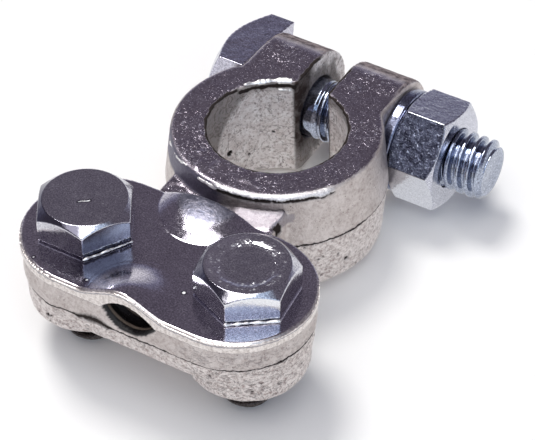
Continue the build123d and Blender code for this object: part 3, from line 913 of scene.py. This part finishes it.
def plate():
    mesh = skin("cable_clamp_plate", PLATE_VOXEL)
    points, out = read(mesh), normals(mesh)
    x, y, z = points.T
    modelled = plate_top(x, y)
    front = step(-26.6, -27.6, y)
    tall = modelled + (PLATE_TOP + pressed_arch(x, y) - modelled) * front
    points[:, 2] += (tall - modelled) * np.clip((z - PLATE_UNDER) / (modelled - PLATE_UNDER), 0, 1)
    along = np.clip(np.abs(x - PLATE_MIDDLE[0]) - PLATE_STRAIGHT, 0, None)
    from_edge = PLATE_ROUND - np.hypot(along, y - PLATE_MIDDLE[1])
    below = tall - z
    upper = step(0.3, 0.6, out[:, 2])
    side = step(0.75, 0.35, np.abs(out[:, 2])) * step(0.8, 0.4, from_edge)

    end = np.sign(x - PLATE_MIDDLE[0]) * along
    outwards = (end * TO_CAMERA[0] - (y - PLATE_MIDDLE[1]) * TO_CAMERA[1]) / PLATE_ROUND
    sheared = step(-0.35, 0.15, outwards)

    height = 0.012 * fractal(points, 5.0, 3, 103) + 0.004 * fractal(points, 0.8, 2, 107)
    height -= 0.05 * near(below, 0.5, 0.16) * side
    points[:, 2] -= (0.15 + 0.75 * sheared) * np.clip(RIM_CUT - from_edge, 0, RIM_CUT) * upper
    spot = np.full(len(points), NO_SPOT)
    for px, py, radius in DOTS:
        away = np.hypot(x - px, y - py)
        height += upper * 0.06 * np.clip(1 - (away / radius) ** 2, 0, 1)
        spot = np.minimum(spot, away - radius)
    held = (points + out * height[:, None]).clip(PLATE_LOW, PLATE_HIGH)
    write(mesh, held)
    plated_marks(
        mesh,
        spot=spot,
        # the dome, which the material darkens as painted shade to dim its highlight
        domed=step(4.6, 3.2, np.hypot(x - ARCHES[1][0], y - ARCHES[1][1])) * upper,
        # painted shade where the plate mirrors the left head
        dusk=np.clip(spots(x, y, PLATE_PAINTED_SHADE), 0, 0.85) * upper,
        # the sheared sides, and along the top of the rim that faces the camera a painted highlight
        edge=np.maximum(side, step(0.45, 0.25, from_edge) * upper * sheared),
        below=below,
    )
    finish_piece("clamp_plate_skin", "clamp_plate", "plate_steel", "cable_clamp_plate", (mesh, PLATE_STEEL))


# --- the cable bolts ---


DISH_DEPTH = 0.20
DISH_RADIUS = 4.9
# the nick in the left head, painted white as a glint: its middle, its direction and half its length
NICK_MIDDLE = (-10.87, -26.36)
NICK_ALONG = (1.27, 1.06)
NICK_HALF = 0.72
# a burr at the foot of a flat: how far out, how high up
BURR_OUT, BURR_UP = 0.20, 0.18


def cable_bolt(name, body, axis, dished, flat_turn, burred, shadow_height):
    """flat_turn is the direction of one flat and burred the span with a burr at its foot, in degrees from
    +X. The last argument is how high the painted shadow over the burr reaches."""
    seat = (axis[0], axis[1], PLATE_TOP)
    head = skin(name, CABLE_HEAD_VOXEL, (seat, (0, 0, 1)))
    points, out = read(head), normals(head)
    x, y, z = points.T
    flat = step(0.9, 0.98, out[:, 2])
    from_centre = np.hypot(x - axis[0], y - axis[1])
    angle = np.degrees(np.arctan2(y - axis[1], x - axis[0]))
    height = 0.008 * fractal(points, 2.5, 3, 113 + dished) + 0.004 * fractal(points, 0.5, 2, 127)
    height -= 0.012 * flat
    marks = {}
    if dished:
        dish = DISH_DEPTH * step(4.3, 3.0, from_centre)
        on_top = (out[:, 2] > 0.6) & (from_centre < DISH_RADIUS) & (z > HEAD_TOP - 0.6)
        points[:, 2] = np.where(on_top, HEAD_TOP - dish, z)
        out = np.where(on_top[:, None], (0.0, 0.0, 1.0), out)
        flat = np.where(on_top, 1.0, flat)
        worked = 0.020 * fractal(points, 0.45, 3, 137) * step(3.2, 4.0, from_centre) - 0.02
        height += np.where(on_top, worked, 0)
        ring = near(from_centre, 3.45, 0.45) + 0.7 * near(from_centre, 4.3, 0.6)
        speck = ring * pits(points * (1, 1, 0.2), 0.40, 0.85, 0.22, 131) * flat
        strong = 0.45 + 0.55 * np.maximum(near(angle, -35, 60), near(angle, 110, 45))
        height -= 0.08 * speck * strong
        marks["white"] = 0.65 * step(0.15, 0.55, speck) * strong
        worn_side = np.maximum(near(angle, -150, 110), near(angle, 150, 60))
        marks["worn"] = band(from_centre, 3.3, 4.7, 0.5) * flat * worn_side
    else:
        nick = np.array(NICK_ALONG) / np.hypot(*NICK_ALONG)
        from_nick_x, from_nick_y = x - NICK_MIDDLE[0], y - NICK_MIDDLE[1]
        along = from_nick_x * nick[0] + from_nick_y * nick[1]
        across = from_nick_y * nick[0] - from_nick_x * nick[1] + 0.04 * np.sin(5 * along)
        from_nick = np.maximum(np.abs(across) - 0.055 - 0.04 * along, np.abs(along) - NICK_HALF)
        marks["spot"] = np.where(flat > 0.5, from_nick, NO_SPOT)
    # a burr stands out at the foot of one flat, with a painted shadow over it
    from_flat = HEAD_FLAT_HALF - from_centre * np.cos(np.radians((angle - flat_turn + 30) % 60 - 30))
    over_burr = band(angle, burred[0] + 1, burred[1] - 1, 1.5) * step(0.7, 0.3, from_flat)
    ragged = 0.10 * fractal(points, 0.9, 2, 141)
    marks["scale"] = over_burr * band(z + ragged, PLATE_TOP + 0.20, PLATE_TOP + shadow_height, 0.10)
    upright = step(0.6, 0.2, np.abs(out[:, 2]))
    # the flat over the burr is paler towards its top: a painted highlight
    marks["glow"] = 0.75 * over_burr * step(PLATE_TOP + 1.2, HEAD_TOP - 1.3, z) * upright
    # the chamfer on the burr's left is darkened as painted shade
    chamfer = step(0.25, 0.45, out[:, 2]) * step(0.97, 0.90, out[:, 2])
    marks["dusk"] = 0.9 * band((burred[0] - angle) % 360, 6, 125, 5) * chamfer
    write(head, points + out * height[:, None])
    plated_marks(head, **marks)

    foot = []
    for turn in np.linspace(*burred, 25):
        away = (HEAD_FLAT_HALF + BURR_OUT) / cos(radians((turn - flat_turn + 30) % 60 - 30))
        foot.append(
            (axis[0] + away * cos(radians(turn)), axis[1] + away * sin(radians(turn)), PLATE_TOP + BURR_UP)
        )
    burr = torn_ribbon(foot, 0.24 if dished else 0.20, 171 + dished, 0.2)
    shank = threaded_shank(BOLT_RADIUS, BOLT_PITCH, PLATE_TOP - BOLT_FOOT, 1.0, BOLT_CORE, 0.6)
    turned = Matrix.Translation(seat) @ Matrix.Rotation(pi, 4, "X")
    parts = (head, HEAD_STEEL), (placed(shank, turned), TIP_STEEL), (burr, TORN_METAL)
    finish_piece(name + "_skin", body, "bolt_steel", name, *parts)


# --- the pinch bolt with its washer and nut ---


def pinch_bolt():
    seat = (-EAR_FACE, PINCH_AXIS[1], PINCH_AXIS[2])
    head = skin("pinch_bolt", SQUARE_HEAD_VOXEL, (seat, (-1, 0, 0)))
    points, out = read(head), normals(head)
    height = 0.02 * fractal(points, 2.5, 3, 139) + 0.008 * fractal(points, 0.5, 2, 149)
    write(head, points + out * height[:, None])
    shank = threaded_shank(
        PINCH_RADIUS, PINCH_PITCH, PINCH_END + EAR_FACE, EAR_FACE - 0.9, PINCH_CORE, 0.75, around=96, along=18
    )
    turned = Matrix.Translation(seat) @ Matrix.Rotation(pi / 2, 4, "Y")
    parts = (head, SQUARE_STEEL), (placed(shank, turned), SHANK_STEEL)
    finish_piece("pinch_bolt_skin", "casting", "plated_steel", "pinch_bolt", *parts)


def washer():
    mesh = skin("pinch_washer", WASHER_VOXEL)
    points, out = read(mesh), normals(mesh)
    write(mesh, points + out * (0.02 * fractal(points, 2.0, 3, 151))[:, None])
    finish_piece("pinch_washer_skin", "washer", "plated_steel", "pinch_washer", (mesh, WASHER_STEEL))


# directions of two of the nut's flats, in degrees about the pinch bolt's axis from +Y: the one that faces
# the saddle, scaled from forging and darkened as painted shade, and the one below it, paler as a painted
# highlight
NUT_SCALED_SHADED_FLAT = 139.3
NUT_HIGHLIGHT_FLAT = -160.7


def on_nut_flat(out, direction):
    """1 on the nut's flat that faces this way."""
    turn = radians(direction)
    return step(0.90, 0.97, out @ (0.0, cos(turn), sin(turn)))


def nut():
    mesh = skin("pinch_nut", NUT_VOXEL)
    points, out = read(mesh), normals(mesh)
    height = 0.012 * fractal(points, 2.0, 3, 157) + 0.010 * fractal(points, 0.5, 2, 163)
    # the flat that faces the saddle: scale darkened as painted shade; the flat below it: a painted highlight
    scale = on_nut_flat(out, NUT_SCALED_SHADED_FLAT)
    height += scale * (0.03 * fractal(points, 0.9, 3, 167) - 0.03)
    write(mesh, points + out * height[:, None])
    plated_marks(mesh, scale=scale, glow=0.4 * on_nut_flat(out, NUT_HIGHLIGHT_FLAT))
    finish_piece("pinch_nut_skin", "nut", "bolt_steel", "pinch_nut", (mesh, NUT_STEEL))


casting()
plate()
cable_bolt("cable_bolt_left", "bolt_left", LEFT_AXIS, False, -90.0, (-60, 0), 0.75)
cable_bolt("cable_bolt_right", "bolt_right", RIGHT_AXIS, True, -53.5, (-83.5, -23.5), 0.45)
pinch_bolt()
washer()
nut()


# --- floor, light and camera ---

FLOOR_DROP = 0.05  # a hair under the contacts
FLOOR_RADIUS = 4.0  # in metres
TIP_REST = LEFT_AXIS[1] + 2.5  # the rear of the cable bolts' tips, where they stand


def floor_slope():
    """Rise of the floor towards +Y: the clamp stands on the tips of its cable bolts and on the lowest part
    behind them."""
    slopes = []
    for node in ("terminal_body", "pinch_bolt", "pinch_nut", "pinch_washer"):
        points = read(frame["nodes"][node].data)
        behind = points[points[:, 1] > 0]
        slopes.append(((behind[:, 2] - BOLT_FOOT) / (behind[:, 1] - TIP_REST)).min())
    return min(slopes)


def floor():
    shape = bmesh.new()
    bmesh.ops.create_circle(shape, cap_ends=True, segments=128, radius=FLOOR_RADIUS)
    mesh = as_mesh("floor", shape)
    mesh.materials.append(floor_material())
    obj = link("floor", mesh)
    obj.rotation_euler = (atan(floor_slope()), 0, 0)
    obj.location = (0, TIP_REST * MM, (BOLT_FOOT - FLOOR_DROP) * MM)


def towards(azimuth, elevation):
    """A direction. Azimuth 0 is -Y and 90 is +X."""
    a, e = radians(azimuth), radians(elevation)
    return Vector((sin(a) * cos(e), -cos(a) * cos(e), sin(e)))


def sun(name, azimuth, elevation, strength, spread, colour):
    """A soft light from far off."""
    data = bpy.data.lights.new(name, "SUN")
    data.energy = strength
    data.angle = radians(spread)
    data.color = colour
    obj = link(name, data)
    obj.rotation_mode = "QUATERNION"
    obj.rotation_quaternion = towards(azimuth, elevation).to_track_quat("Z", "Y")


# the sky's colours: sine of the elevation, colour
SKY = (
    (0.0, (0.95, 0.95, 0.95)),
    (0.15, (0.84, 0.84, 0.86)),
    (0.33, (0.26, 0.26, 0.36)),
    (0.46, (0.155, 0.138, 0.175)),
    (0.90, (0.14, 0.125, 0.155)),
    (1.0, (0.15, 0.14, 0.16)),
)
PANEL_AZIMUTH, PANEL_ELEVATION = 52, 40
PANEL_REACH, PANEL_CORE = 36, 16.2  # from its middle to its edge and to where it starts to fade, in degrees
PANEL_COLOUR = (0.74, 0.90, 1.12)


def world():
    """A pale horizon under a dim ceiling, and a bluish panel to the right of the camera."""
    surroundings = bpy.data.worlds.new("studio")
    bpy.context.scene.world = surroundings
    surroundings.use_nodes = True
    n = Nodes(surroundings.node_tree)
    ray = n.add("ShaderNodeTexCoord").outputs["Generated"]
    ramp = n.add("ShaderNodeValToRGB", {"Fac": n.add("ShaderNodeSeparateXYZ", {0: ray}).outputs["Z"]})
    stops = ramp.color_ramp.elements
    for position, _ in SKY[1:-1]:
        stops.new(position)
    for stop, (_, colour) in zip(stops, SKY):
        stop.color = (*colour, 1)
    middle = towards(PANEL_AZIMUTH, PANEL_ELEVATION)
    facing = n.add("ShaderNodeVectorMath", {0: ray, 1: middle}, operation="DOT_PRODUCT").outputs["Value"]
    edge, core = cos(radians(PANEL_REACH)), cos(radians(PANEL_CORE))
    panel = n.fit(facing, edge, core, interpolation_type="SMOOTHSTEP")
    sky = n.add("ShaderNodeBackground", {"Color": n.mix(panel, ramp.outputs["Color"], PANEL_COLOUR)})
    n.add("ShaderNodeOutputWorld", {"Surface": sky.outputs[0]})


# the photo's camera, in millimetres and pixels
CAMERA_PLACE = (116.77, -199.07, 207.83)
CAMERA_RIGHT = Vector((0.860, 0.510, 0.0))
CAMERA_BACK = Vector((0.37892, -0.63845, 0.66993))
FOCAL_PIXELS, FRAME_WIDTH = 2425.8, 535


def camera():
    data = bpy.data.cameras.new("camera")
    data.sensor_width = 36.0
    data.lens = FOCAL_PIXELS / FRAME_WIDTH * data.sensor_width
    data.clip_start, data.clip_end = 0.01, 20.0
    obj = link("camera", data)
    back = CAMERA_BACK.normalized()
    right = (CAMERA_RIGHT - CAMERA_RIGHT.dot(back) * back).normalized()
    up = back.cross(right)
    turn = Matrix((right, up, back)).transposed().to_4x4()
    obj.matrix_world = Matrix.Translation(Vector(CAMERA_PLACE) * MM) @ turn
    bpy.context.scene.camera = obj


floor()
sun("overhead", 4, 70, 1.25, 50, (1.0, 0.99, 0.98))
sun("side", -110, 69, 1.75, 20, (1.0, 0.99, 0.97))
world()
camera()
bpy.context.scene.view_settings.view_transform = "Standard"
